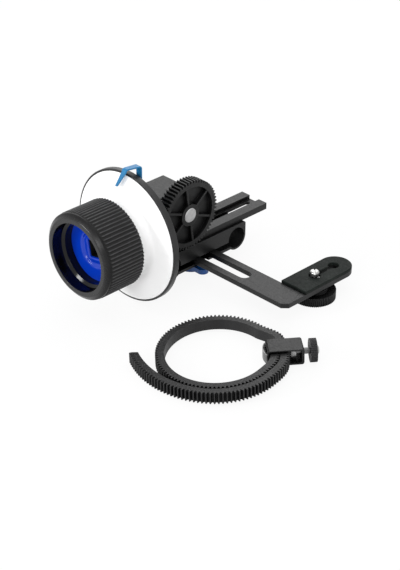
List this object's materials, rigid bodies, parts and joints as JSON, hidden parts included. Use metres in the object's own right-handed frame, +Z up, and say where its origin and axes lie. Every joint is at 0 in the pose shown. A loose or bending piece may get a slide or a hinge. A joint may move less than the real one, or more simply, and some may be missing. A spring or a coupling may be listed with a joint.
{
  "type": "follow focus unit",
  "caption": "Follow focus with a ribbed hand wheel, white marking disc, gearbox, drive gear, rod clamp, slotted rail, L bracket and a separate toothed lens gear ring.",
  "frame": {"origin": "midway between the axes of the two support rods, at the middle of the clamp block's length, on the clamp bolt's axis", "axes": "+X along the rods towards the camera end of the bracket, -Y out of the hand wheel towards the user, +Z up"},
  "size_m": [0.1882, 0.1819, 0.0954],
  "materials": {
    "black_anodised": "satin black anodised",
    "black_plastic": "fine matt moulded",
    "gloss_black": "gloss black anodised",
    "white_plastic": "smooth matt white",
    "blue_anodised": "satin blue anodised",
    "lever_blue": "moulded blue",
    "pointer_blue": "painted light blue",
    "steel": "turned, nickel bright",
    "black_steel": "black oxide",
    "brass": "turned",
    "rubber": "matt ribbed",
    "foot_grey": "light grey, matt",
    "belt_rubber": "matt flexible toothed belt"
  },
  "bodies": {
    "rod_clamp": {"rod_clamp_block": "black_anodised", "clamp_bolt": "steel", "clamp_washer": "black_steel"},
    "rail_carriage": {"slide_rail": "black_anodised", "gearbox_housing": "black_anodised", "gearbox_cover": "black_anodised", "cover_screws": "black_steel", "rail_screws": "black_steel", "wheel_bush": "brass", "wheel_tail_bush": "brass", "gear_bush": "brass", "gear_tail_bush": "brass", "pointer": "pointer_blue", "pointer_screw": "black_steel"},
    "hand_wheel": {"wheel_shaft": "steel", "wheel_screw_gear": "steel", "wheel_cup": "gloss_black", "grip_sleeve": "rubber", "dished_face": "blue_anodised", "crank_socket": "black_steel", "marking_disc": "white_plastic", "disc_carrier": "gloss_black"},
    "gear_output": {"drive_gear": "black_plastic", "gear_shaft": "steel", "gear_screw_gear": "steel"},
    "lock_lever": {"clamp_lever": "lever_blue"},
    "bracket": {"bracket_plate": "black_anodised", "anti_slip_pad": "rubber"},
    "camera_thumbscrew": {"camera_screw": "steel", "thumb_wheel": "black_anodised", "keeper_washer": "black_steel"},
    "gear_ring": {"gear_belt": "belt_rubber", "belt_frame": "black_anodised", "lens_leaf": "steel"},
    "ring_foot": {"pressure_foot": "foot_grey"},
    "ring_screw": {"belt_screw_stem": "steel", "belt_screw_knob": "black_anodised", "belt_screw_cap": "steel"}
  },
  "joints": [
    {"name": "rail_slide", "type": "slide", "parent": "rod_clamp", "child": "rail_carriage", "axis": [0, 1, 0], "range_m": [-0.052, 0.0045]},
    {"name": "hand_wheel_spin", "type": "hinge", "parent": "rail_carriage", "child": "hand_wheel", "pos_m": [0, -0.05, 0.0302], "axis": [0, -1, 0], "continuous": true},
    {"name": "drive_gear_spin", "type": "hinge", "parent": "rail_carriage", "child": "gear_output", "pos_m": [0.012, -0.0226, 0.0402], "axis": [1, 0, 0], "continuous": true},
    {"name": "lock_lever_turn", "type": "hinge", "parent": "rod_clamp", "child": "lock_lever", "pos_m": [0, 0, -0.01], "axis": [0, 0, 1], "range_deg": [-90, 90]},
    {"name": "bracket_slide", "type": "slide", "parent": "rod_clamp", "child": "bracket", "axis": [1, 0, 0], "range_m": [-0.051, 0.0045]},
    {"name": "camera_screw_spin", "type": "hinge", "parent": "bracket", "child": "camera_thumbscrew", "pos_m": [0.0847, 0.0299, -0.01], "axis": [0, 0, 1], "continuous": true},
    {"name": "ring_lift", "type": "slide", "parent": "rod_clamp", "child": "gear_ring", "axis": [0, 0, 1], "range_m": [0, 0.15]},
    {"name": "ring_foot_slide", "type": "slide", "parent": "gear_ring", "child": "ring_foot", "axis": [-0.6357, -0.7712, -0.0347], "range_m": [-0.00109, 0.00058]},
    {"name": "ring_screw_turn", "type": "hinge", "parent": "ring_foot", "child": "ring_screw", "pos_m": [0.13448, -0.02972, -0.00771], "axis": [-0.6357, -0.7712, -0.0347], "range_deg": [-560, 300]}
  ],
  "couplings": [
    {"joint": "drive_gear_spin", "follows": "hand_wheel_spin", "ratio": 1},
    {"joint": "ring_screw_turn", "follows": "ring_foot_slide", "rad_per_m": 8976}
  ]
}
